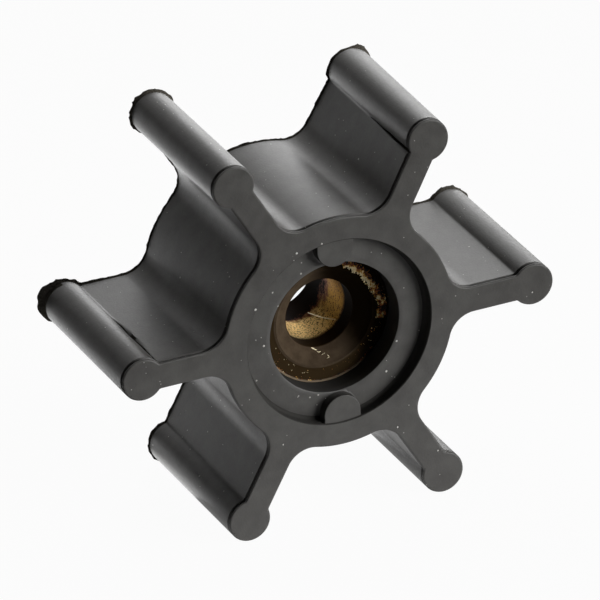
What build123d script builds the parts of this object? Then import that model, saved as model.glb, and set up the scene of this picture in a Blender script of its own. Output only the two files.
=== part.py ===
from build123d import *
import os

# Six-vane rubber pump impeller, moulded round a turned brass hub insert. Millimetres.
# The shaft axis is Y, the recessed face looks towards -Y and +Z is up. The origin is on the
# shaft axis, half-way through the width. The part stands on the beads of its two lower vanes.

# Outline of the moulded body, the same all through its width
OUTSIDE_DIAMETER = 50.8    # over the vane beads
FACE_WIDTH = 21.4          # from face to face, along the shaft
VANE_COUNT = 6
BEAD_RADIUS = 2.4          # round bead along each vane tip
VANE_THICKNESS = 3.0
HUB_RADIUS = 13.5
ROOT_FILLET = 3.0          # where a vane runs into the hub
NECK_FILLET = 0.4          # where a vane runs into its bead
FACE_EDGE_CHAMFER = 0.2    # broken edge of both faces, along the outline

# Ring recess in the front face, and the lugs that stand in it
FACE_LAND = 2.7            # flat ring left between the recess and the outside of the hub
RECESS_RIM_DEPTH = 1.3     # at the edge of the insert's socket
RECESS_WALL_DEPTH = 1.6    # the floor slopes a little down to the outer wall
RECESS_CORNER_SHARE = 0.22   # round between floor and outer wall, as a share of the ring's width
LUG_ANGLES = (90, 270)     # about the shaft, from +X towards +Z
LUG_WIDTH = 4.3
LUG_SET_BACK = 0.15        # lug's round nose, outward from the socket wall
LUG_TOP_DEPTH = 0.1        # lug tops, just under the face

# Turned brass insert, bonded in the hub's through socket
INSERT_RADIUS = 7.6
INSERT_LENGTH = 13.4
INSERT_EDGE_CHAMFER = 0.25
BORE_RADIUS = 3.97         # running size for a 5/16 in shaft
MOUTH_FLARE = 1.8          # how much wider the bore's mouth is than the bore
MOUTH_DEPTH = 1.3          # how deep the conical mouth goes, at both ends

FRONT_Y = -FACE_WIDTH / 2
BEAD_CIRCLE_RADIUS = OUTSIDE_DIAMETER / 2 - BEAD_RADIUS
RECESS_RADIUS = HUB_RADIUS - FACE_LAND
RECESS_CORNER = RECESS_CORNER_SHARE * (RECESS_RADIUS - INSERT_RADIUS)
CUT_PAST = 1.0             # how far a cutter runs past the face that it opens


def vane_outline(angle):
    """One vane seen along the shaft: a flat web from the shaft axis out to its round bead."""
    web = Pos(BEAD_CIRCLE_RADIUS / 2, 0) * Rectangle(BEAD_CIRCLE_RADIUS, VANE_THICKNESS)
    bead = Pos(BEAD_CIRCLE_RADIUS, 0) * Circle(BEAD_RADIUS)
    return Rot(0, 0, angle) * (web + bead)


def body_outline():
    """Hub circle and vanes, with the roots and the bead necks filleted."""
    outline = Sketch() + Circle(HUB_RADIUS)
    for number in range(VANE_COUNT):
        outline += vane_outline(number * 360 / VANE_COUNT)
    between = (HUB_RADIUS + BEAD_CIRCLE_RADIUS) / 2
    roots = outline.vertices().filter_by(lambda corner: corner.center().length < between)
    outline = fillet(roots, ROOT_FILLET)
    necks = outline.vertices().filter_by(
        lambda corner: between < corner.center().length < BEAD_CIRCLE_RADIUS)
    return fillet(necks, NECK_FILLET)


def lug_cores():
    """The lugs as upright bars with a round nose, standing from the recess floor."""
    nose = INSERT_RADIUS + LUG_SET_BACK + LUG_WIDTH / 2
    length = RECESS_RADIUS + CUT_PAST - nose
    bar = Pos(nose + length / 2, 0) * Rectangle(length, LUG_WIDTH)
    plan = bar + Pos(nose, 0) * Circle(LUG_WIDTH / 2)
    height = RECESS_WALL_DEPTH + CUT_PAST - LUG_TOP_DEPTH
    top = Plane((0, FRONT_Y + LUG_TOP_DEPTH, 0), x_dir=(1, 0, 0), z_dir=(0, -1, 0))
    return [extrude(top * Rot(0, 0, angle) * plan, -height) for angle in LUG_ANGLES]


def front_recess():
    """The ring-shaped cutter for the front recess, less the lugs that it leaves standing."""
    above = FRONT_Y - CUT_PAST
    rim = FRONT_Y + RECESS_RIM_DEPTH
    section = Plane.XY * Polygon(
        (0, above), (RECESS_RADIUS, above), (RECESS_RADIUS, FRONT_Y + RECESS_WALL_DEPTH),
        (INSERT_RADIUS, rim), (0, rim), align=None)
    corner = section.vertices().sort_by(Axis.Y)[-1]
    cutter = revolve(fillet(corner, RECESS_CORNER), Axis.Y)
    for core in lug_cores():
        cutter -= core
    return cutter


def rubber_body():
    """The moulded rubber: hub, vanes and beads in one piece."""
    blank = extrude(Plane.XZ * body_outline(), FACE_WIDTH / 2, both=True)
    edges = [edge for face in (blank.faces().sort_by(Axis.Y)[0], blank.faces().sort_by(Axis.Y)[-1])
             for edge in face.edges()]
    blank = chamfer(edges, FACE_EDGE_CHAMFER)
    socket = Rot(90, 0, 0) * Cylinder(INSERT_RADIUS, FACE_WIDTH + 2 * CUT_PAST)
    return blank - front_recess() - socket


def brass_insert():
    """The turned bush: a straight bore with a conical mouth at each end."""
    end = INSERT_LENGTH / 2
    section = Plane.XY * Polygon(
        (BORE_RADIUS, MOUTH_DEPTH - end), (BORE_RADIUS + MOUTH_FLARE, -end),
        (INSERT_RADIUS - INSERT_EDGE_CHAMFER, -end), (INSERT_RADIUS, INSERT_EDGE_CHAMFER - end),
        (INSERT_RADIUS, end - INSERT_EDGE_CHAMFER), (INSERT_RADIUS - INSERT_EDGE_CHAMFER, end),
        (BORE_RADIUS + MOUTH_FLARE, end), (BORE_RADIUS, end - MOUTH_DEPTH), align=None)
    return revolve(section, Axis.Y)


os.makedirs("parts", exist_ok=True)
for name, piece in {"rubber_body": rubber_body(), "brass_insert": brass_insert()}.items():
    piece.label = name
    export_step(piece, f"parts/{name}.step")
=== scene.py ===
import math
import random

import bmesh
import bpy
from mathutils import Matrix, Vector, noise


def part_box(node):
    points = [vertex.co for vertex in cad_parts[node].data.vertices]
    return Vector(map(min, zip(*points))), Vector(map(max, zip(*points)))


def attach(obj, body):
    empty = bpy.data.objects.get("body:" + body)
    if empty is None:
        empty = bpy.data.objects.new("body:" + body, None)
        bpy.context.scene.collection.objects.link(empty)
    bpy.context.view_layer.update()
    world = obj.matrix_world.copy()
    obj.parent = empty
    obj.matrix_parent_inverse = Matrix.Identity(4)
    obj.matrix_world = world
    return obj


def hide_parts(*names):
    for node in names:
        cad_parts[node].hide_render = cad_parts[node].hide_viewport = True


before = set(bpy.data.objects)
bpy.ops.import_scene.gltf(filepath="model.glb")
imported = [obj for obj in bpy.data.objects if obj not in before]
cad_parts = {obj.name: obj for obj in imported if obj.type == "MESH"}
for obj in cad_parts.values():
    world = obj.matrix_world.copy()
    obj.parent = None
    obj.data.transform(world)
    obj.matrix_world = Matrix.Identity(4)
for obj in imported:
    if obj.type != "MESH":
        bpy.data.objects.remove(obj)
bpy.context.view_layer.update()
MM = 0.001
scene = bpy.context.scene

# ---- Camera -------------------------------------------------------------------------------
# A long lens a metre away, a little to the left of the shaft axis and looking down on the
# recessed face. Its roll is that of a camera held by hand.
CAMERA_AZIMUTH = math.radians(-23.57)
CAMERA_ELEVATION = math.radians(26.73)
CAMERA_ROLL = math.radians(-2.65)
CAMERA_DISTANCE = 1000 * MM
AIM_RIGHT = 0.210 * MM        # the aim point, measured from the origin in the picture's plane
AIM_UP = -0.771 * MM
LENS_MM = 556.2
SENSOR_MM = 36.0

toward = Vector((math.sin(CAMERA_AZIMUTH) * math.cos(CAMERA_ELEVATION),
                 -math.cos(CAMERA_AZIMUTH) * math.cos(CAMERA_ELEVATION),
                 math.sin(CAMERA_ELEVATION)))
level_right = Vector((math.cos(CAMERA_AZIMUTH), math.sin(CAMERA_AZIMUTH), 0))
level_up = toward.cross(level_right)
right = level_right * math.cos(CAMERA_ROLL) + level_up * math.sin(CAMERA_ROLL)
up = level_up * math.cos(CAMERA_ROLL) - level_right * math.sin(CAMERA_ROLL)
lens = bpy.data.cameras.new("long_lens")
lens.lens = LENS_MM
lens.sensor_width = SENSOR_MM
lens.clip_start = 10 * MM
lens.clip_end = 20
camera = bpy.data.objects.new("camera", lens)
turn = Matrix((right, up, toward)).transposed()
aim = right * AIM_RIGHT + up * AIM_UP
camera.matrix_world = Matrix.Translation(aim + toward * CAMERA_DISTANCE) @ turn.to_4x4()
scene.collection.objects.link(camera)
scene.camera = camera

# ---- Moulded body -------------------------------------------------------------------------
# Hub, six vanes and the round bead along each vane tip, moulded in one piece of nitrile
# rubber round the brass bush. The front face holds a ring recess with two driving lugs, and
# torn flash from the mould's parting line fringes the back.
body_low, body_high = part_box("rubber_body")
bush_low, bush_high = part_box("brass_insert")
FRONT_Y, BACK_Y = body_low.y, body_high.y
FLOOR_Z = body_low.z
TIP_RADIUS = body_high.x
BUSH_RADIUS = bush_high.x
WIDTH_MM = (BACK_Y - FRONT_Y) / MM
BEAD_RADIUS = 2.4 * MM
BEAD_CENTRE = TIP_RADIUS - BEAD_RADIUS
HALF_WEB = 1.5 * MM
HUB_RADIUS = 13.5 * MM
ROOT_FILLET = 3.0 * MM
NECK_FILLET = 0.4 * MM
VANE_COUNT = 6
PITCH = 360 / VANE_COUNT
SHAFT_AXIS = (0, -1, 0)       # turns from +X towards +Z as seen from the front
WELD = 0.001 * MM             # points closer together than this are one point
SLIGHT = 0.02                 # mm, less than which doesn't count
BEAD_STEPS, NECK_STEPS, WEB_STEPS, ROOT_STEPS, HUB_STEPS = 36, 6, 26, 22, 16
RUBBER, TORN, MATT = range(3)    # the body's finishes, in the order of its material slots

# The side wall near the front face, as depth and how far it stands out, in mm. A moulded lip
# runs round the edge with a fine groove behind it.
LIP_AND_GROOVE = [(0.00, -0.26), (0.00, -0.20), (0.02, -0.10), (0.07, -0.03), (0.15, 0.00),
                  (0.22, 0.00), (0.25, -0.10), (0.31, -0.30), (0.46, -0.34), (0.56, -0.16),
                  (0.68, 0.00)]
GROOVE_FROM, GROOVE_TO = 0.22, 0.60
WALL_STEP = 0.6

# The torn flash, as mm before the back face, share of its reach outwards and share of its
# reach backwards. It starts on the wall, flares to a thin torn edge and comes back.
FLASH_SECTION = [(0.30, 0.0, 0.0), (0.16, 0.35, 0.0), (0.05, 0.8, 0.1), (0.0, 1.0, 0.3),
                 (0.0, 0.9, 0.36), (0.0, 0.3, 0.1)]
BACK_EDGE_INSETS = (0.10, 0.16)

# Its mean reach in mm on hub and webs, and round the bead of each vane.
WALL_FLASH = 0.13
BEAD_FLASH = {0: 0.26, 60: 0.26, 120: 0.28, 180: 0.30, 240: 0.20, 300: 0.12}
BEAD_FLASH_FROM = 2.6         # how far inside the bead's centre the one turns into the other
BEAD_FLASH_OVER = 1.2         # and over how far
FLASH_LEAST, FLASH_MOST = 0.02, 0.75

# How much of the reach is even, and how much comes in waves, in ripples and in single teeth,
# and the sizes of these in mm.
EVEN_SHARE, WAVE_SHARE, RIPPLE_SHARE, TOOTH_SHARE = 0.85, 0.6, 0.6, 1.2
WAVE_SIZE, RIPPLE_SIZE, TOOTH_SIZE = 2.6, 0.7, 0.3

# Two beads tore a little from their vane along one neck, as the vane, the side (1 is towards
# the next vane), where the tear starts, is widest and ends, its width and its depth, in mm.
NECK_TEARS = [(60, 1, 0.0, 0.5, 11.0, 0.50, 0.35), (180, -1, 0.4, 7.6, 12.4, 0.62, 0.30)]
TEAR_OFFSET = 0.52            # from the bead's inner end outwards to a tear's middle

# One bead's back end is torn off in a flap, from this depth on and between these angles.
FLAP_VANE, FLAP_FROM_DEPTH = 180, 20.7
FLAP_ANGLES = (96, 216)
FLAP_PEAK = 0.43              # where along those angles it stands out furthest
FLAP_REACH = 0.62
FLAP_EVEN_SHARE, FLAP_RIPPLE_SHARE = 0.85, 0.2

# How far each vane leans about the shaft, at its front and its back end, in mm at the tip.
VANE_LEAN = {0: (0, 0), 60: (0.35, -0.60), 120: (0, 0), 180: (0, 0), 240: (0, 0), 300: (0, 0)}
LEAN_POWER = 1.5              # it bends more and more towards the tip

# Ring recess and lugs, in mm
RECESS_RADIUS = 10.8
RECESS_WALL_DEPTH = 1.45
RECESS_RIM_DEPTH = 1.3
RECESS_CORNER = 0.35
EDGE_ROUND = 0.12
RECESS_EDGE_ROUND = 0.09
FLAT_MARGIN = 0.06            # a flat ring beside each rounded edge, which keeps faces flat
LUG_HALF_WIDTH = 2.15
LUG_NOSE_CENTRE = 9.9
LUG_TOP_DEPTH = 0.2
LUG_SUNK = 0.6                # how far a lug's sides run on into the rubber that carries it
TURN_STEPS = 240
CORNER_STEPS, NOSE_STEPS = 12, 32


def last_vert(made):
    """The vertex at the end of a spin or an extrusion of one vertex."""
    return [v for v in made if isinstance(v, bmesh.types.BMVert)][-1]


def arc(bm, end, centre, axis, angle, steps):
    """Sweeps a wire's last vertex on round a centre and gives the new last vertex."""
    swept = bmesh.ops.spin(bm, geom=[end], cent=centre, axis=axis, angle=angle, steps=steps)
    return last_vert(swept["geom_last"])


def run(bm, end, target, steps=1):
    """Draws a wire's last vertex on in a straight line and gives the new last vertex."""
    step = (Vector(target) - end.co) / steps
    for number in range(steps):
        end = bmesh.ops.extrude_vert_indiv(bm, verts=[end])["verts"][0]
        end.co += step
    return end


def half_vane(bm):
    """Wire from a bead's tip along one side of the vane to the hub, half-way to the next."""
    neck_x = BEAD_CENTRE - math.sqrt((BEAD_RADIUS + NECK_FILLET) ** 2
                                     - (HALF_WEB + NECK_FILLET) ** 2)
    neck_z = HALF_WEB + NECK_FILLET
    bead_turn = math.atan2(neck_z, neck_x - BEAD_CENTRE)
    root_z = HALF_WEB + ROOT_FILLET
    root_x = math.sqrt((HUB_RADIUS + ROOT_FILLET) ** 2 - root_z ** 2)
    root_angle = math.atan2(root_z, root_x)
    end = bm.verts.new((TIP_RADIUS, FRONT_Y, 0))
    end = arc(bm, end, (BEAD_CENTRE, FRONT_Y, 0), SHAFT_AXIS, bead_turn, BEAD_STEPS)
    end = arc(bm, end, (neck_x, FRONT_Y, neck_z), SHAFT_AXIS, math.pi / 2 - bead_turn, NECK_STEPS)
    end = run(bm, end, (root_x, FRONT_Y, HALF_WEB), WEB_STEPS)
    end = arc(bm, end, (root_x, FRONT_Y, root_z), SHAFT_AXIS, root_angle - math.pi / 2, ROOT_STEPS)
    arc(bm, end, (0, FRONT_Y, 0), SHAFT_AXIS, math.radians(PITCH / 2) - root_angle, HUB_STEPS)


def next_ring(bm, ring):
    """Extrudes a closed ring of edges once and gives the new ring's edges and vertices."""
    made = bmesh.ops.extrude_edge_only(bm, edges=ring)["geom"]
    fresh = {v for v in made if isinstance(v, bmesh.types.BMVert)}
    return [e for e in made if isinstance(e, bmesh.types.BMEdge) and set(e.verts) <= fresh], fresh


def nearest_vane(point):
    """The vane nearest to a point, as its angle in degrees, and the point's radius."""
    angle = math.degrees(math.atan2(point.z, point.x))
    return round(round(angle / PITCH) * PITCH) % 360, math.hypot(point.x, point.z)


def flap_share(point):
    """How much of the torn flap there is at a point of the back edge, from 0 to 1."""
    vane, radius = nearest_vane(point)
    turned = math.radians(vane)
    angle = math.degrees(math.atan2(point.z - BEAD_CENTRE * math.sin(turned),
                                    point.x - BEAD_CENTRE * math.cos(turned))) % 360
    if vane != FLAP_VANE or not FLAP_ANGLES[0] < angle < FLAP_ANGLES[1]:
        return 0.0
    share = (angle - FLAP_ANGLES[0]) / (FLAP_ANGLES[1] - FLAP_ANGLES[0])
    return min(share / FLAP_PEAK, (1 - share) / (1 - FLAP_PEAK))


def neck_tear(point):
    """How deep a point of the side wall lies in a torn neck, as a share of the tear."""
    vane, radius = nearest_vane(point)
    depth = (point.y - FRONT_Y) / MM
    angle = math.radians(vane)
    across = (point.z * math.cos(angle) - point.x * math.sin(angle)) / MM
    along = (point.x * math.cos(angle) + point.z * math.sin(angle)) / MM
    for torn_vane, side, start, widest, stop, width, deep in NECK_TEARS:
        if vane == torn_vane and across * side > 0 and start < depth < stop:
            taper = min((depth - start) / (widest - start), (stop - depth) / (stop - widest))
            half = width * taper / 2
            offset = abs(along - (BEAD_CENTRE - BEAD_RADIUS) / MM - TEAR_OFFSET)
            return deep * max(0.0, 1 - (offset / half) ** 2) if half > SLIGHT else 0.0
    return 0.0


def torn_reach(point):
    """How far the torn flash stands out at a point of the back edge, in mm."""
    vane, radius = nearest_vane(point)
    on_bead = (radius - BEAD_CENTRE + BEAD_FLASH_FROM * MM) / (BEAD_FLASH_OVER * MM)
    reach = WALL_FLASH + (BEAD_FLASH[vane] - WALL_FLASH) * max(0.0, min(1.0, on_bead))
    wave = noise.noise(point / (WAVE_SIZE * MM))
    ripple = noise.noise(point / (RIPPLE_SIZE * MM) + Vector((7, 3, 1)))
    tooth = max(0.0, noise.noise(point / (TOOTH_SIZE * MM) + Vector((1, 9, 4)))) ** 2
    reach *= EVEN_SHARE + WAVE_SHARE * wave + RIPPLE_SHARE * ripple + TOOTH_SHARE * tooth
    flap = FLAP_EVEN_SHARE + FLAP_RIPPLE_SHARE * ripple
    reach += FLAP_REACH * flap_share(point) * flap
    return min(max(reach, FLASH_LEAST), FLASH_MOST)


def lean(point):
    """How far a point of a vane is moved sideways, because that vane isn't quite straight."""
    vane, radius = nearest_vane(point)
    at_front, at_back = VANE_LEAN[vane]
    toward_back = (point.y - FRONT_Y) / (BACK_Y - FRONT_Y)
    out = max(0.0, (radius - HUB_RADIUS) / (TIP_RADIUS - HUB_RADIUS))
    sideways = Vector((-math.sin(math.radians(vane)), 0, math.cos(math.radians(vane))))
    return sideways * (at_front + (at_back - at_front) * toward_back) * out ** LEAN_POWER * MM


def section_point(radius, depth):
    """A point of a turned section, from its radius and its depth behind the front, in mm."""
    return Vector((radius * MM, FRONT_Y + depth * MM, 0))


def turn_section(bm):
    """Spins a wire once round the shaft axis."""
    bmesh.ops.spin(bm, geom=bm.verts[:] + bm.edges[:], cent=(0, 0, 0), axis=(0, 1, 0),
                   angle=2 * math.pi, steps=TURN_STEPS, use_merge=True)


def finished(bm, name, smooth_within=math.radians(40)):
    """Turns a bmesh into a named object at the origin, with its faces outwards."""
    bmesh.ops.remove_doubles(bm, verts=bm.verts[:], dist=WELD)
    bmesh.ops.recalc_face_normals(bm, faces=bm.faces[:])
    mesh = bpy.data.meshes.new(name)
    bm.to_mesh(mesh)
    bm.free()
    mesh.shade_smooth()
    mesh.set_sharp_from_angle(angle=smooth_within)
    obj = bpy.data.objects.new(name, mesh)
    scene.collection.objects.link(obj)
    return obj


bm = bmesh.new()
half_vane(bm)
bmesh.ops.mirror(bm, geom=bm.verts[:] + bm.edges[:], axis="Z", merge_dist=WELD)
bmesh.ops.remove_doubles(bm, verts=bm.verts[:], dist=WELD)
bmesh.ops.spin(bm, geom=bm.verts[:] + bm.edges[:], cent=(0, 0, 0), axis=SHAFT_AXIS,
               angle=math.radians(PITCH) * (VANE_COUNT - 1), steps=VANE_COUNT - 1,
               use_duplicate=True)
bmesh.ops.remove_doubles(bm, verts=bm.verts[:], dist=WELD)

# Each point of the outline keeps its place, its outward direction and its reach of flash,
# and every ring that is extruded from it takes them along.
home = bm.verts.layers.float_vector.new("home")
outward = bm.verts.layers.float_vector.new("outward")
reach = bm.verts.layers.float.new("reach")
flat = bmesh.ops.contextual_create(bm, geom=bm.edges[:])["faces"][0]
flat.normal_update()
for corner in flat.loops:
    along = corner.link_loop_next.vert.co - corner.link_loop_prev.vert.co
    corner.vert[home] = corner.vert.co
    corner.vert[outward] = along.cross(flat.normal).normalized()
    corner.vert[reach] = torn_reach(corner.vert.co)
bm.faces.remove(flat)

wall_from = LIP_AND_GROOVE[-1][0]
wall_to = WIDTH_MM - FLASH_SECTION[0][0]
wall_steps = round((wall_to - wall_from) / WALL_STEP)
wall = [(wall_from + (wall_to - wall_from) * step / wall_steps, 0.0)
        for step in range(1, wall_steps)]
ring, ring_verts = bm.edges[:], set(bm.verts)
front_rim = ring[:]
for number, (depth, stand) in enumerate(LIP_AND_GROOVE + wall):
    if number:
        ring, ring_verts = next_ring(bm, ring)
    for v in ring_verts:
        place = Vector(v[home])
        place.y = FRONT_Y + depth * MM
        v.co = place + Vector(v[outward]) * (stand - neck_tear(place)) * MM
for before_back, out_share, back_share in FLASH_SECTION:
    ring, ring_verts = next_ring(bm, ring)
    for v in ring_verts:
        v.co = Vector(v[home]) + Vector(v[outward]) * v[reach] * out_share * MM
        v.co.y = BACK_Y + (v[reach] * back_share - before_back) * MM
for inset in BACK_EDGE_INSETS:
    ring, ring_verts = next_ring(bm, ring)
    for v in ring_verts:
        v.co = Vector(v[home]) - Vector(v[outward]) * inset * MM
        v.co.y = BACK_Y
back_rim = ring
for f in bm.faces:
    middle = f.calc_center_median()
    depth = (middle.y - FRONT_Y) / MM
    on_flap = depth > FLAP_FROM_DEPTH and flap_share(middle) > 0
    raw = depth > wall_to or neck_tear(middle) > SLIGHT or on_flap
    in_groove = GROOVE_FROM < depth < GROOVE_TO
    f.material_index = TORN if raw else MATT if in_groove else RUBBER
for v in bm.verts:
    v.co += lean(v.co)
    v.co.z = max(v.co.z, FLOOR_Z)

# The recess and the through socket for the bush are one section, turned about the shaft.
socket = BUSH_RADIUS / MM
floor_slope = math.atan2(RECESS_WALL_DEPTH - RECESS_RIM_DEPTH, RECESS_RADIUS - socket)
corner_turn = math.pi / 2 + floor_slope
corner_depth = RECESS_WALL_DEPTH - RECESS_CORNER / math.tan((math.pi - corner_turn) / 2)
rim_slope = EDGE_ROUND * math.tan(floor_slope)
hollow = bmesh.new()
recess_edge = RECESS_RADIUS + RECESS_EDGE_ROUND
end = hollow.verts.new(section_point(recess_edge + FLAT_MARGIN, 0))
end = run(hollow, end, section_point(recess_edge, 0))
end = run(hollow, end, section_point(RECESS_RADIUS, RECESS_EDGE_ROUND))
end = run(hollow, end, section_point(RECESS_RADIUS, corner_depth))
end = arc(hollow, end, section_point(RECESS_RADIUS - RECESS_CORNER, corner_depth), (0, 0, 1),
          corner_turn, CORNER_STEPS)
# From the corner inwards over the rim into the socket, and through it out at the back, as
# radius, depth and steps. Three points make each rounded edge.
for out, depth, steps in (
        (socket + EDGE_ROUND, RECESS_RIM_DEPTH + rim_slope, 6),
        (socket + EDGE_ROUND * 0.3, RECESS_RIM_DEPTH + EDGE_ROUND * 0.4, 1),
        (socket, RECESS_RIM_DEPTH + EDGE_ROUND * 1.2, 1),
        (socket, WIDTH_MM - EDGE_ROUND, 20),
        (socket + EDGE_ROUND * 0.3, WIDTH_MM - EDGE_ROUND * 0.3, 1),
        (socket + EDGE_ROUND, WIDTH_MM, 1),
        (socket + EDGE_ROUND + FLAT_MARGIN, WIDTH_MM, 1)):
    end = run(hollow, end, section_point(out, depth), steps)
turn_section(hollow)
for f in hollow.faces:
    middle = f.calc_center_median()
    out = math.hypot(middle.x, middle.z) / MM
    on_wall = out > RECESS_RADIUS - RECESS_CORNER and middle.y > FRONT_Y + SLIGHT * MM
    f.material_index = MATT if out < socket + SLIGHT or on_wall else RUBBER
turned = bpy.data.meshes.new("turned_hollow")
hollow.to_mesh(turned)
hollow.free()
bm.from_mesh(turned)
bpy.data.meshes.remove(turned)
for rim, y, radius in ((front_rim, FRONT_Y, (recess_edge + FLAT_MARGIN) * MM),
                       (back_rim, BACK_Y, (socket + EDGE_ROUND + FLAT_MARGIN) * MM)):
    hole = [e for e in bm.edges if e.is_boundary and all(
        abs(v.co.y - y) < WELD and abs(math.hypot(v.co.x, v.co.z) - radius) < 10 * WELD
        for v in e.verts)]
    bmesh.ops.triangle_fill(bm, use_beauty=True, edges=rim + hole)
moulded_body = finished(bm, "moulded_body")

# Both lugs are bars with a round nose that stand from the recess floor up to the face.
lug_height = (RECESS_WALL_DEPTH + LUG_SUNK - LUG_TOP_DEPTH) * MM
lug_top = FRONT_Y + LUG_TOP_DEPTH * MM
bm = bmesh.new()
for side in (1, -1):
    outer = (RECESS_RADIUS + LUG_SUNK) * MM * side
    end = bm.verts.new((LUG_HALF_WIDTH * MM, lug_top, outer))
    first = end
    end = run(bm, end, (LUG_HALF_WIDTH * MM, lug_top, LUG_NOSE_CENTRE * MM * side))
    end = arc(bm, end, (0, lug_top, LUG_NOSE_CENTRE * MM * side), SHAFT_AXIS,
              -math.pi * side, NOSE_STEPS)
    end = run(bm, end, (-LUG_HALF_WIDTH * MM, lug_top, outer))
    bm.edges.new((end, first))
tops = bmesh.ops.edgenet_fill(bm, edges=bm.edges[:])["faces"]
pushed = bmesh.ops.extrude_face_region(bm, geom=tops)["geom"]
for f in bm.faces:
    f.normal_update()
    faces_front = abs(f.normal.y) > 0.5
    f.material_index = RUBBER if faces_front else MATT
bmesh.ops.translate(bm, vec=(0, lug_height, 0),
                    verts=[v for v in pushed if isinstance(v, bmesh.types.BMVert)])
top_edges = [e for e in bm.edges if all(abs(v.co.y - lug_top) < WELD for v in e.verts)]
bmesh.ops.bevel(bm, geom=top_edges, offset=EDGE_ROUND * MM, segments=3, profile=0.5,
                affect="EDGES", material=-1)
lugs = finished(bm, "lugs")
union = moulded_body.modifiers.new("union", "BOOLEAN")
union.operation = "UNION"
union.solver = "EXACT"
union.object = lugs
graph = bpy.context.evaluated_depsgraph_get()
joined = bpy.data.meshes.new_from_object(moulded_body.evaluated_get(graph))
moulded_body.modifiers.clear()
moulded_body.data = joined
bpy.data.objects.remove(lugs)
weighted = moulded_body.modifiers.new("even_normals", "WEIGHTED_NORMAL")
weighted.keep_sharp = True


def linear(hex_code):
    """The linear RGBA of an sRGB colour written as #rrggbb."""
    parts = [int(hex_code[place:place + 2], 16) / 255 for place in (1, 3, 5)]
    return [p / 12.92 if p <= 0.04045 else ((p + 0.055) / 1.055) ** 2.4 for p in parts] + [1]


def add_node(tree, kind, inputs=(), **settings):
    """Adds a node with its settings. Inputs name a socket and the value or output it takes."""
    node = tree.nodes.new(kind)
    for name, value in settings.items():
        setattr(node, name, value)
    for socket_name, value in dict(inputs).items():
        if isinstance(value, bpy.types.NodeSocket):
            tree.links.new(value, node.inputs[socket_name])
        else:
            node.inputs[socket_name].default_value = value
    return node


def new_material(name):
    """An empty material; gives it with its node tree."""
    material = bpy.data.materials.new(name)
    material.use_nodes = True
    material.node_tree.nodes.clear()
    return material, material.node_tree


def show(tree, shader):
    """Sends a shader to the material's output."""
    add_node(tree, "ShaderNodeOutputMaterial", {"Surface": shader.outputs[0]})


def lay_over(tree, ground, value, start, stop, tone, fade="SMOOTHSTEP"):
    """Lays a colour over a ground. It fades in while the value goes from start to stop."""
    amount = add_node(tree, "ShaderNodeMapRange", {
        "Value": value, "From Min": start, "From Max": stop}, interpolation_type=fade)
    return add_node(tree, "ShaderNodeMix", {
        "Factor": amount.outputs[0], "A": ground, "B": linear(tone)},
        data_type="RGBA").outputs["Result"]


# Nitrile rubber, compression moulded: charcoal grey, with a satin skin that goes pale at a
# grazing angle. Its colour is mottled, and a fine grain breaks the sheen up.
MOTTLE_MM = 2.6
GRAIN_MM = 0.22
rubber, tree = new_material("moulded_nitrile_rubber")
place = add_node(tree, "ShaderNodeTexCoord").outputs["Object"]
mottle = add_node(tree, "ShaderNodeTexNoise", {
    "Vector": place, "Scale": 1 / (MOTTLE_MM * MM), "Detail": 5.0, "Roughness": 0.6})
grain = add_node(tree, "ShaderNodeTexNoise", {
    "Vector": place, "Scale": 1 / (GRAIN_MM * MM), "Detail": 2.0})
dusty = lay_over(tree, linear("#43413f"), mottle.outputs["Fac"], 0.3, 0.7, "#545350", "LINEAR")
# Fine pale dust in two sizes, as the spacing and the radius of the specks in mm and the share
# of them that is there. A speck's edge is soft.
for cell, size, kept in ((1.9, 0.13, 0.3), (0.85, 0.075, 0.4)):
    speck = add_node(tree, "ShaderNodeTexVoronoi", {"Vector": place, "Scale": 1 / (cell * MM)})
    near = add_node(tree, "ShaderNodeMapRange", {
        "Value": speck.outputs["Distance"], "From Min": size / cell,
        "From Max": size / cell * 0.6})
    chosen = add_node(tree, "ShaderNodeMath", {0: speck.outputs["Color"], 1: kept},
                      operation="LESS_THAN")
    amount = add_node(tree, "ShaderNodeMath", {0: near.outputs[0], 1: chosen.outputs[0]},
                      operation="MULTIPLY")
    dusty = add_node(tree, "ShaderNodeMix", {
        "Factor": amount.outputs[0], "A": dusty, "B": linear("#b8b6b0")},
        data_type="RGBA").outputs["Result"]
gloss = add_node(tree, "ShaderNodeMapRange", {
    "Value": grain.outputs["Fac"], "From Min": 0.3, "From Max": 0.7,
    "To Min": 0.46, "To Max": 0.54})
bump = add_node(tree, "ShaderNodeBump", {
    "Height": grain.outputs["Fac"], "Strength": 0.6, "Distance": 0.025 * MM})
show(tree, add_node(tree, "ShaderNodeBsdfPrincipled", {
    "Base Color": dusty, "Roughness": gloss.outputs[0],
    "Normal": bump.outputs[0], "IOR": 1.52}))

# Torn nitrile rubber: where it tore the skin is missing, and the raw rubber is rough, dull
# and a warm grey.
torn, tree = new_material("torn_nitrile_rubber")
place = add_node(tree, "ShaderNodeTexCoord").outputs["Object"]
crumb = add_node(tree, "ShaderNodeTexNoise", {
    "Vector": place, "Scale": 1 / (GRAIN_MM * MM), "Detail": 3.0})
bump = add_node(tree, "ShaderNodeBump", {
    "Height": crumb.outputs["Fac"], "Strength": 0.8, "Distance": 0.1 * MM})
tone = add_node(tree, "ShaderNodeMix", {
    "Factor": crumb.outputs["Fac"], "A": linear("#3a3732"), "B": linear("#68645c")},
    data_type="RGBA")
show(tree, add_node(tree, "ShaderNodeBsdfPrincipled", {
    "Base Color": tone.outputs["Result"], "Roughness": 0.9, "Specular IOR Level": 0.0,
    "Normal": bump.outputs[0]}))

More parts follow.
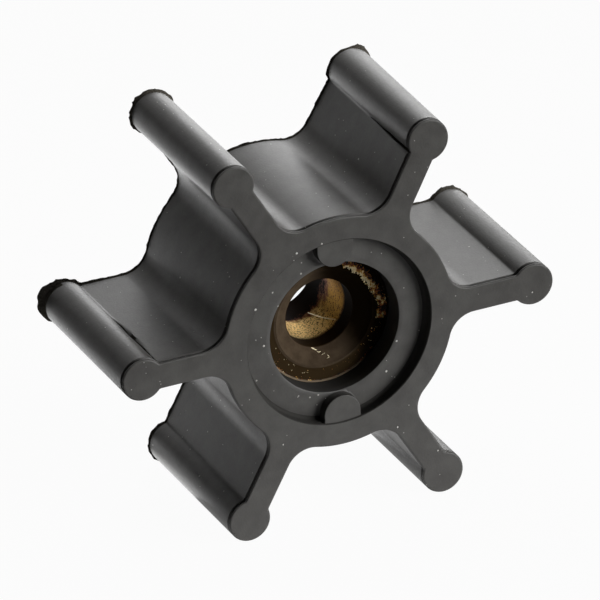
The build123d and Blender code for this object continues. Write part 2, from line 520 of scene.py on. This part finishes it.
# Matt nitrile rubber: the steep walls of recess, lugs and socket and the fine groove never rub
# on anything, so they kept the mould's dull finish.
matt, tree = new_material("matt_nitrile_rubber")
show(tree, add_node(tree, "ShaderNodeBsdfPrincipled", {
    "Base Color": linear("#42413f"), "Roughness": 0.9, "Specular IOR Level": 0.0}))
for finish in (rubber, torn, matt):
    moulded_body.data.materials.append(finish)
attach(moulded_body, "root")
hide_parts("rubber_body")

# ---- Hub bush -----------------------------------------------------------------------------
# A turned brass bush with a straight bore and a conical mouth at both ends, bonded into the
# rubber. Grime coats its face and mouth, and the bore is bright only in a band part way in.
BORE_RADIUS = 3.97
MOUTH_RADIUS = 5.77
MOUTH_DEPTH = 1.3
BUSH_CHAMFER = 0.25
bush_front = (bush_low.y - FRONT_Y) / MM
bush_back = (bush_high.y - FRONT_Y) / MM
RIM_LIP = 0.12                # a thin raised lip round the face, and a fainter one at the mouth
bm = bmesh.new()
end = bm.verts.new(section_point(BORE_RADIUS, bush_front + MOUTH_DEPTH))
# Out through the front mouth, over the face, back along the outside and in through the back
# mouth and the bore, as radius, depth and steps.
for out, depth, steps in (
        (MOUTH_RADIUS - 0.22, bush_front + 0.19, 4),
        (MOUTH_RADIUS - 0.08, bush_front - RIM_LIP / 4, 1),
        (MOUTH_RADIUS + 0.02, bush_front - RIM_LIP / 4, 1),
        (MOUTH_RADIUS + 0.18, bush_front + 0.04, 1),
        (socket - 0.26, bush_front, 4),
        (socket - 0.18, bush_front - RIM_LIP, 1),
        (socket - 0.06, bush_front - RIM_LIP, 1),
        (socket, bush_front + 0.1, 1),
        (socket, bush_back - BUSH_CHAMFER, 8),
        (socket - BUSH_CHAMFER, bush_back, 1),
        (MOUTH_RADIUS, bush_back, 4),
        (BORE_RADIUS, bush_back - MOUTH_DEPTH, 4),
        (BORE_RADIUS, bush_front + MOUTH_DEPTH, 24)):
    end = run(bm, end, section_point(out, depth), steps)
bmesh.ops.remove_doubles(bm, verts=bm.verts[:], dist=WELD)
turn_section(bm)
hub_bush = finished(bm, "hub_bush", math.radians(30))


def shaft_distance(tree, place):
    """How far each point lies from the shaft's axis, as an output."""
    across = add_node(tree, "ShaderNodeVectorMath", {0: place, 1: (1, 0, 1)},
                      operation="MULTIPLY")
    return add_node(tree, "ShaderNodeVectorMath", {0: across.outputs[0]},
                    operation="LENGTH").outputs["Value"]


# Brass, turned and left in salt water. The mouth carries smooth brown grime and the face a darker
# one, the right side is painted near black, and the bore is pitted straw-gold metal between a
# brown band at the mouth and a ragged near black zone deeper in. The metal is painted paler
# towards the lower left, a painted highlight.
BRIGHT_FROM, BRIGHT_TO = 7.6, 12.6    # depths behind the rubber's front face
DARKER_SIDE = (0.93, 0, 0.36)      # the way from the shaft towards the side that is painted near black
HIGHLIGHT_SIDE = (-0.75, 0, -0.66)    # and towards where the metal is painted palest, a painted highlight
BLOTCH_MM, PIT_MM = 1.5, 0.22
DARKER_WANDER, BLOTCH_WANDER, PIT_WANDER = 2.0, 7.0, 2.6    # how ragged edges are, in mm
METAL_SHINE = 0.3             # how metallic the bright band still is
brass, tree = new_material("grimy_turned_brass")
place = add_node(tree, "ShaderNodeTexCoord").outputs["Object"]
blotch = add_node(tree, "ShaderNodeTexNoise", {
    "Vector": place, "Scale": 1 / (BLOTCH_MM * MM), "Detail": 6.0,
    "Roughness": 0.7}).outputs["Fac"]
pits = add_node(tree, "ShaderNodeTexNoise", {
    "Vector": place, "Scale": 1 / (PIT_MM * MM), "Detail": 2.5,
    "Roughness": 0.7}).outputs["Fac"]
depth = add_node(tree, "ShaderNodeSeparateXYZ", {"Vector": place}).outputs["Y"]
radius = shaft_distance(tree, place)
to_darker_side = add_node(tree, "ShaderNodeVectorMath", {0: place, 1: DARKER_SIDE},
                  operation="DOT_PRODUCT").outputs["Value"]
to_highlight_side = add_node(tree, "ShaderNodeVectorMath", {0: place, 1: HIGHLIGHT_SIDE},
                   operation="DOT_PRODUCT").outputs["Value"]
# Blotches make the edge of the near black right side ragged, and blotches and fine pits that of
# the near black deeper in the bore. On average they shift it by half their strength.
darker_edge = add_node(tree, "ShaderNodeMath", {0: blotch, 1: DARKER_WANDER * MM, 2: to_darker_side},
                operation="MULTIPLY_ADD").outputs[0]
ragged = add_node(tree, "ShaderNodeMath", {0: blotch, 1: BLOTCH_WANDER * MM, 2: depth},
                  operation="MULTIPLY_ADD").outputs[0]
ragged = add_node(tree, "ShaderNodeMath", {0: pits, 1: PIT_WANDER * MM, 2: ragged},
                  operation="MULTIPLY_ADD").outputs[0]
deep_dark_y = FRONT_Y + (BRIGHT_TO + BLOTCH_WANDER / 2 + PIT_WANDER / 2) * MM
bright_y = FRONT_Y + BRIGHT_FROM * MM
mouth = MOUTH_RADIUS * MM
rim = socket * MM
bore_limits = ((BORE_RADIUS + 0.1) * MM, (BORE_RADIUS + 0.02) * MM)

# Each stack of layers is a ground colour and what lies on it, as the value that decides where,
# the limits between which it fades in, and its colour.
stacks = [
    ("#44392d", [(blotch, 0.3, 0.7, "#56493b"),
                 (radius, mouth + 0.10 * MM, mouth + 0.25 * MM, "#382c1c"),
                 (radius, rim - 0.30 * MM, rim - 0.20 * MM, "#8a7a66"),
                 (radius, *bore_limits, "#2a1e10"),
                 # Deeper in the bore the colour goes near black.
                 (depth, FRONT_Y + 8 * MM, FRONT_Y + 9 * MM, "#1a0d06"),
                 # Near black is painted over the right side.
                 (darker_edge, 1.0 * MM, 4.0 * MM, "#140d06")]),
    # The metal is painted paler towards the lower left, a painted highlight where the light falls.
    ("#b48c24", [(to_highlight_side, -2.8 * MM, 2.6 * MM, "#ffdf9c"),
                 (pits, 0.50, 0.37, "#4c340e"),
                 (ragged, deep_dark_y - 1.9 * MM, deep_dark_y - 0.1 * MM, "#5a2c08")])]
colours = []
for ground, layers in stacks:
    colour = linear(ground)
    for value, start, stop, tone in layers:
        colour = lay_over(tree, colour, value, start, stop, tone)
    colours.append(colour)

# In the bore, bright metal shows from the end of the brown band to where it goes near black deeper
# in.
clean = 1.0
for value, start, stop in ((depth, bright_y - 0.5 * MM, bright_y + 0.3 * MM),
                           (ragged, deep_dark_y + 0.5 * MM, deep_dark_y - 0.5 * MM),
                           (radius, *bore_limits)):
    amount = add_node(tree, "ShaderNodeMapRange", {
        "Value": value, "From Min": start, "From Max": stop}, interpolation_type="SMOOTHSTEP")
    clean = add_node(tree, "ShaderNodeMath", {0: amount.outputs[0], 1: clean},
                     operation="MULTIPLY").outputs[0]
colour = add_node(tree, "ShaderNodeMix", {
    "Factor": clean, "A": colours[0], "B": colours[1]}, data_type="RGBA")
metallic = add_node(tree, "ShaderNodeMath", {0: clean, 1: METAL_SHINE}, operation="MULTIPLY")
bump = add_node(tree, "ShaderNodeBump", {
    "Height": pits, "Strength": 0.35, "Distance": 0.03 * MM})
dullness = add_node(tree, "ShaderNodeMapRange", {"Value": clean, "To Min": 0.85, "To Max": 0.45})
show(tree, add_node(tree, "ShaderNodeBsdfPrincipled", {
    "Base Color": colour.outputs["Result"], "Roughness": dullness.outputs[0],
    "Metallic": metallic.outputs[0], "Specular IOR Level": 0.06,
    "Specular Tint": linear("#d8b468"), "Normal": bump.outputs[0]}))
hub_bush.data.materials.append(brass)
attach(hub_bush, "root")
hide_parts("brass_insert")

# ---- Corrosion on the bush ----------------------------------------------------------------
# Flaky crumbs of corroded brass have grown on the bush's face and cling to it, thick in one
# arc at the upper right and thin along the lower edge. Below them the bush carries a scratch
# and a few flecks that something rubbed bright.
random.seed(7)
BAND = [(-14, 6.75), (-2, 6.95), (10, 6.55), (23, 6.3), (38, 6.3), (51, 6.35), (68, 6.5)]
BAND_COUNT, BAND_SPREAD, BAND_SIZES = 1500, 0.24, (0.03, 0.10)
RIM_COUNT, RIM_ANGLES, RIM_SIZES = 70, (196, 330), (0.04, 0.10)
RIM_RADIUS, RIM_SPREAD = 7.35, 0.06
SPECK_COUNT, SPECK_ANGLES, SPECK_SIZES = 90, (190, 345), (0.02, 0.045)
SPECK_RADII = (6.0, 7.45)
FACE_LIMIT = 7.5              # no crumb lies further out, where the rubber is
CRUMB_WIDTHS, CRUMB_HEIGHTS = (0.7, 1.6), (0.4, 0.8)    # as shares of a crumb's size
CRUMB_STAND = 0.3             # and how far its middle stands in front of the face
CRUMB_TURN = 6.28             # radians, all ways round


def add_ball(bm, size, placed):
    """Adds a coarse ball of a radius in mm, which a matrix flattens, turns and places."""
    bmesh.ops.create_icosphere(bm, subdivisions=1, radius=size * MM, matrix=placed)


lumps = []                    # radius, angle and size, in mm and degrees
for number in range(BAND_COUNT):
    angle = random.uniform(BAND[0][0], BAND[-1][0])
    before, after = [pair for pair in zip(BAND, BAND[1:]) if pair[0][0] <= angle][-1]
    share = (angle - before[0]) / (after[0] - before[0])
    middle = before[1] + (after[1] - before[1]) * share
    lumps.append((min(random.gauss(middle, BAND_SPREAD), FACE_LIMIT), angle,
                  random.uniform(*BAND_SIZES)))
for number in range(RIM_COUNT):
    lumps.append((random.gauss(RIM_RADIUS, RIM_SPREAD), random.uniform(*RIM_ANGLES),
                  random.uniform(*RIM_SIZES)))
for number in range(SPECK_COUNT):
    lumps.append((random.uniform(*SPECK_RADII), random.uniform(*SPECK_ANGLES),
                  random.uniform(*SPECK_SIZES)))
bm = bmesh.new()
for out, angle, size in lumps:
    spot = Matrix.Translation(section_point(out, bush_front - size * CRUMB_STAND))
    turned_by = Matrix.Rotation(-math.radians(angle), 4, "Y")
    flat = Matrix.Diagonal((random.uniform(*CRUMB_WIDTHS), random.uniform(*CRUMB_HEIGHTS),
                            random.uniform(*CRUMB_WIDTHS), 1))
    tumbled = Matrix.Rotation(random.uniform(0, CRUMB_TURN), 4, Vector((1, 2, 1)))
    add_ball(bm, size, turned_by @ spot @ flat @ tumbled)
crumbs = finished(bm, "corrosion_crumbs", math.radians(20))

# Corroded brass in flakes: straw, gold, rust and near black side by side, from one flake to
# the next, and paler towards the shaft.
FLAKE_MM = 0.5
PALING = 0.08
flakes, tree = new_material("flaked_brass_corrosion")
place = add_node(tree, "ShaderNodeTexCoord").outputs["Object"]
patches = add_node(tree, "ShaderNodeTexNoise", {
    "Vector": place, "Scale": 1 / (FLAKE_MM * MM), "Detail": 2.0, "Roughness": 0.6})
inner = add_node(tree, "ShaderNodeMapRange", {
    "Value": shaft_distance(tree, place), "From Min": 6.0 * MM, "From Max": 6.9 * MM,
    "To Min": PALING, "To Max": -PALING})
paler = add_node(tree, "ShaderNodeMath", {
    0: patches.outputs["Fac"], 1: inner.outputs[0]}, operation="ADD")
colour = linear("#1e120a")
for start, stop, tone in ((0.38, 0.44, "#8a4a26"), (0.46, 0.50, "#c4963e"),
                          (0.53, 0.58, "#f6e6b8")):
    colour = lay_over(tree, colour, paler.outputs[0], start, stop, tone, "LINEAR")
show(tree, add_node(tree, "ShaderNodeBsdfPrincipled", {
    "Base Color": colour, "Roughness": 0.65, "Specular IOR Level": 0.3}))
crumbs.data.materials.append(flakes)
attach(crumbs, "root")

# The scratch runs slantwise down the bore's wall, as angle and depth, and the flecks lie on
# the mouth below it, as x and z. Both stand a hair proud of the brass.
SCRATCH = [(296, 12.3), (301, 11.0), (306, 9.8), (312, 8.7), (318, 7.7)]
SCRATCH_WIDTH = 0.06
FLECKS = [(-1.08, -3.93), (-0.98, -4.02), (-0.86, -4.10), (-0.70, -4.2), (-0.51, -4.44),
          (-0.35, -4.5), (-0.1, -4.75), (0.15, -4.7), (0.4, -5.15), (0.5, -4.95)]
FLECK_SIZES, FLECK_SHAPE = (0.04, 0.07), (2.4, 0.6, 0.7, 1)
PROUD = 0.02
bm = bmesh.new()
end = None
for angle, depth in SCRATCH:
    spot = section_point(BORE_RADIUS - PROUD, depth)
    spot = Matrix.Rotation(math.radians(-angle), 3, "Y") @ spot
    end = run(bm, end, spot) if end else bm.verts.new(spot)
made = bmesh.ops.extrude_edge_only(bm, edges=bm.edges[:])["geom"]
for v in made:
    if isinstance(v, bmesh.types.BMVert):
        v.co = Matrix.Rotation(-SCRATCH_WIDTH / BORE_RADIUS, 3, "Y") @ v.co
for x, z in FLECKS:
    out = math.hypot(x, z)
    depth = bush_front + MOUTH_DEPTH * (MOUTH_RADIUS - out) / (MOUTH_RADIUS - BORE_RADIUS)
    spot = Matrix.Translation((x * MM, FRONT_Y + (depth - PROUD) * MM, z * MM))
    size = random.uniform(*FLECK_SIZES)
    turned_by = Matrix.Rotation(random.uniform(-1, 1), 4, "Y")
    add_ball(bm, size, spot @ turned_by @ Matrix.Diagonal(FLECK_SHAPE))
scratch = finished(bm, "rubbed_marks")

# Bare brass: rubbed bright, so it has a pale glint.
bare, tree = new_material("bare_rubbed_brass")
show(tree, add_node(tree, "ShaderNodeBsdfPrincipled", {
    "Base Color": linear("#fff3cc"), "Metallic": 1.0, "Roughness": 0.4}))
scratch.data.materials.append(bare)
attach(scratch, "root")

# ---- Dust ---------------------------------------------------------------------------------
# The largest grains of pale mineral dust, which have settled on the rubber's front face and on
# the floor of the recess. They cling to the rubber and nothing else holds them.
GRAINS = [(-9.69, 5.1), (-8.35, -0.16), (-1.65, 10.95), (-4.61, 10.55), (-7.03, 5.87),
          (-7.23, -11.73), (22.88, -0.91), (6.29, -13.08), (10.96, -17.13), (5.85, -6.8),
          (7.18, -3.46)]
GRAIN_SIZES, GRAIN_SHAPE = (0.10, 0.15), (1, 0.4, 1, 1)
bm = bmesh.new()
for x, z in GRAINS:             # from the shaft's axis, in mm
    out = math.hypot(x, z)
    floor_depth = RECESS_RIM_DEPTH + (out - socket) * math.tan(floor_slope)
    depth = floor_depth if out < RECESS_RADIUS else 0
    spot = Matrix.Translation((x * MM, FRONT_Y + depth * MM, z * MM))
    add_ball(bm, random.uniform(*GRAIN_SIZES), spot @ Matrix.Diagonal(GRAIN_SHAPE))
dust = finished(bm, "settled_dust")

# Pale mineral dust, dry and matt.
pale, tree = new_material("pale_dust")
show(tree, add_node(tree, "ShaderNodeBsdfPrincipled", {
    "Base Color": linear("#dcdad5"), "Roughness": 0.95, "Specular IOR Level": 0.1}))
dust.data.materials.append(pale)
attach(dust, "root")

# ---- Studio -------------------------------------------------------------------------------
# White paper over a light table in a white room. Out of the frame one large soft box stands on
# the right in front and one on the right behind, and a small one hangs close above and behind.
# Black cards keep what faces left and forwards dark. None of it is part of the object.
FLOOR_SIZE = 6.0
PAPER_SHOWN = 0.96            # how white the paper looks, to the camera and in the gloss
ROOM_LIGHT = 0.035            # how much light the white room itself gives
bm = bmesh.new()
bmesh.ops.create_grid(bm, x_segments=2, y_segments=2, size=FLOOR_SIZE / 2)
bmesh.ops.translate(bm, vec=(0, 0, FLOOR_Z), verts=bm.verts[:])
floor = finished(bm, "floor")


def clear_view(tree):
    """An output that is 1 where a thing is seen, and 0 where it only lights other things."""
    seen = add_node(tree, "ShaderNodeLightPath").outputs
    camera_or_gloss = add_node(tree, "ShaderNodeMath", {
        0: seen["Is Camera Ray"], 1: seen["Is Glossy Ray"]}, operation="MAXIMUM")
    return add_node(tree, "ShaderNodeMath", {
        0: camera_or_gloss.outputs[0], 1: seen["Is Transmission Ray"]},
        operation="MAXIMUM").outputs[0]


# White paper, lit from below, so that it is seen evenly white and still reflects the light.
white, tree = new_material("white_paper")
amount = add_node(tree, "ShaderNodeMath", {0: clear_view(tree), 1: PAPER_SHOWN},
                  operation="MULTIPLY")
paper = add_node(tree, "ShaderNodeBsdfDiffuse", {"Color": linear("#f2f2f2")})
bright = add_node(tree, "ShaderNodeEmission", {"Color": (1, 1, 1, 1), "Strength": 1.0})
show(tree, add_node(tree, "ShaderNodeMixShader", {
    0: amount.outputs[0], 1: paper.outputs[0], 2: bright.outputs[0]}))
floor.data.materials.append(white)

world = bpy.data.worlds.new("white_room")
world.use_nodes = True
scene.world = world
tree = world.node_tree
tree.nodes.clear()
strength = add_node(tree, "ShaderNodeMapRange", {
    "Value": clear_view(tree), "To Min": ROOM_LIGHT, "To Max": 1.0})
sky = add_node(tree, "ShaderNodeBackground", {
    "Color": (1, 1, 1, 1), "Strength": strength.outputs[0]})
add_node(tree, "ShaderNodeOutputWorld", {"Surface": sky.outputs[0]})


def softbox(name, place, size, power):
    """A square soft lamp that faces the object."""
    data = bpy.data.lights.new(name, "AREA")
    data.shape = "SQUARE"
    data.size = size
    data.energy = power
    lamp = bpy.data.objects.new(name, data)
    lamp.location = place
    lamp.rotation_mode = "QUATERNION"
    lamp.rotation_quaternion = Vector(place).to_track_quat("Z", "Y")
    scene.collection.objects.link(lamp)


# Place and size in metres, and power in watts
softbox("key_box", (0.79, -0.76, 0.12), 0.75, 15.5)
softbox("rear_box", (1.42, 1.98, 0.60), 1.2, 19.0)
softbox("near_box", (0.034, 0.050, 0.060), 0.04, 0.015)


def bent_card(name, near_end, far_end, start, span):
    """A card that a line sweeps leftwards round the object, from so far left of behind it."""
    bm = bmesh.new()
    run(bm, bm.verts.new(near_end), far_end)
    bmesh.ops.rotate(bm, verts=bm.verts[:], cent=(0, 0, 0),
                     matrix=Matrix.Rotation(math.radians(start), 3, "Z"))
    bmesh.ops.spin(bm, geom=bm.verts[:] + bm.edges[:], cent=(0, 0, 0), axis=(0, 0, 1),
                   angle=math.radians(span), steps=CARD_STEPS)
    card = finished(bm, name)
    card.visible_camera = False
    return card


# Two black cards stand round the object: a low one from straight behind to the left, and a
# high one from there round the front to the right. What lies on the floor only shows in the
# object's gloss: black cards in front, on the left and further off behind on the left, and the
# bright light table behind, with two small patches of it near the object on the left.
# Lengths are in metres, and a card starts and spans so many degrees.
CARD_RADIUS = 2.0
CARD_STEPS = 24
LYING_Z = FLOOR_Z + 0.05 * MM
# Matt black card
black, tree = new_material("black_card")
show(tree, add_node(tree, "ShaderNodeBsdfDiffuse", {"Color": linear("#1c1c1c")}))
# Light table, where its lamps shine up through the paper
lit, tree = new_material("light_table_glow")
show(tree, add_node(tree, "ShaderNodeEmission", {"Color": (1, 1, 1, 1), "Strength": 3.2}))
for name, height, start, span in (("low_strip", 1.0, -2, 102), ("black_card", 5.0, 100, 215)):
    card = bent_card(name, (0, CARD_RADIUS, FLOOR_Z), (0, CARD_RADIUS, FLOOR_Z + height),
                     start, span)
    card.data.materials.append(black)
for name, material, inner, outer, start, span in (
        ("front_card", black, 0.052, CARD_RADIUS, 66, 249),
        ("far_card", black, 0.120, CARD_RADIUS, 26, 40),
        ("side_card", black, 0.022, 0.051, 58, 70),
        ("lit_table", lit, 0.005, CARD_RADIUS, -62, 90),
        ("lit_corner", lit, 0.028, 0.075, 28, 28),
        ("lit_foot", lit, 0.012, 0.020, 40, 48)):
    card = bent_card(name, (0, inner, LYING_Z), (0, outer, LYING_Z), start, span)
    card.data.materials.append(material)
    card.visible_diffuse = False
    card.visible_shadow = False
    card.visible_transmission = False

scene.view_settings.view_transform = "Standard"
